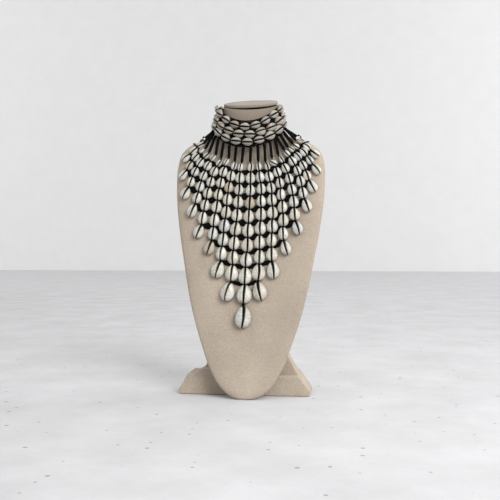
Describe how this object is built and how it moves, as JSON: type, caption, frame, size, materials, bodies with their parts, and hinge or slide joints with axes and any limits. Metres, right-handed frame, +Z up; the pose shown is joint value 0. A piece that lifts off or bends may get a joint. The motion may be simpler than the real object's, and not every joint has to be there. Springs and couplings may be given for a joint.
{
  "type": "cowrie shell necklace on neck bust",
  "caption": "Wide choker of small cowries in rows on a dark woven band, with a deep pointed bib of cowries in knotted dark netting, on a leaning linen neck bust.",
  "frame": {"origin": "on the floor, under the middle of the whole object's box", "axes": "+Z up; +X to the right of a person who faces the front of the bust; the front faces -Y"},
  "size_m": [0.199, 0.0925, 0.3935],
  "materials": {
    "linen": "coarse woven linen cover, beige",
    "linen_cap": "finer woven linen cover, beige",
    "band": "black woven cotton band",
    "cord": "black twisted cotton cord, knotted",
    "shell": "ivory cowrie shell, soft gloss"
  },
  "bodies": {
    "root": {"bust_board": "linen", "neck_cap": "linen_cap", "stand_foot": "linen", "rear_leg": "linen", "collar_band": "band", "collar_hem": "cord", "top_edge_cord": "cord", "back_tie": "cord", "collar_row_top": "shell", "collar_row_middle": "shell", "collar_row_bottom": "shell", "stems": "cord", "thread_net": "cord", "pendant_shell": "shell", "shell_string_left_10": "shell", "shell_string_left_9": "shell", "shell_string_left_8": "shell", "shell_string_left_7": "shell", "shell_string_left_6": "shell", "shell_string_left_5": "shell", "shell_string_left_4": "shell", "shell_string_left_3": "shell", "shell_string_left_2": "shell", "shell_string_left_1": "shell", "shell_string_middle_0": "shell", "shell_string_right_1": "shell", "shell_string_right_2": "shell", "shell_string_right_3": "shell", "shell_string_right_4": "shell", "shell_string_right_5": "shell", "shell_string_right_6": "shell", "shell_string_right_7": "shell", "shell_string_right_8": "shell", "shell_string_right_9": "shell", "shell_string_right_10": "shell"}
  },
  "joints": []
}
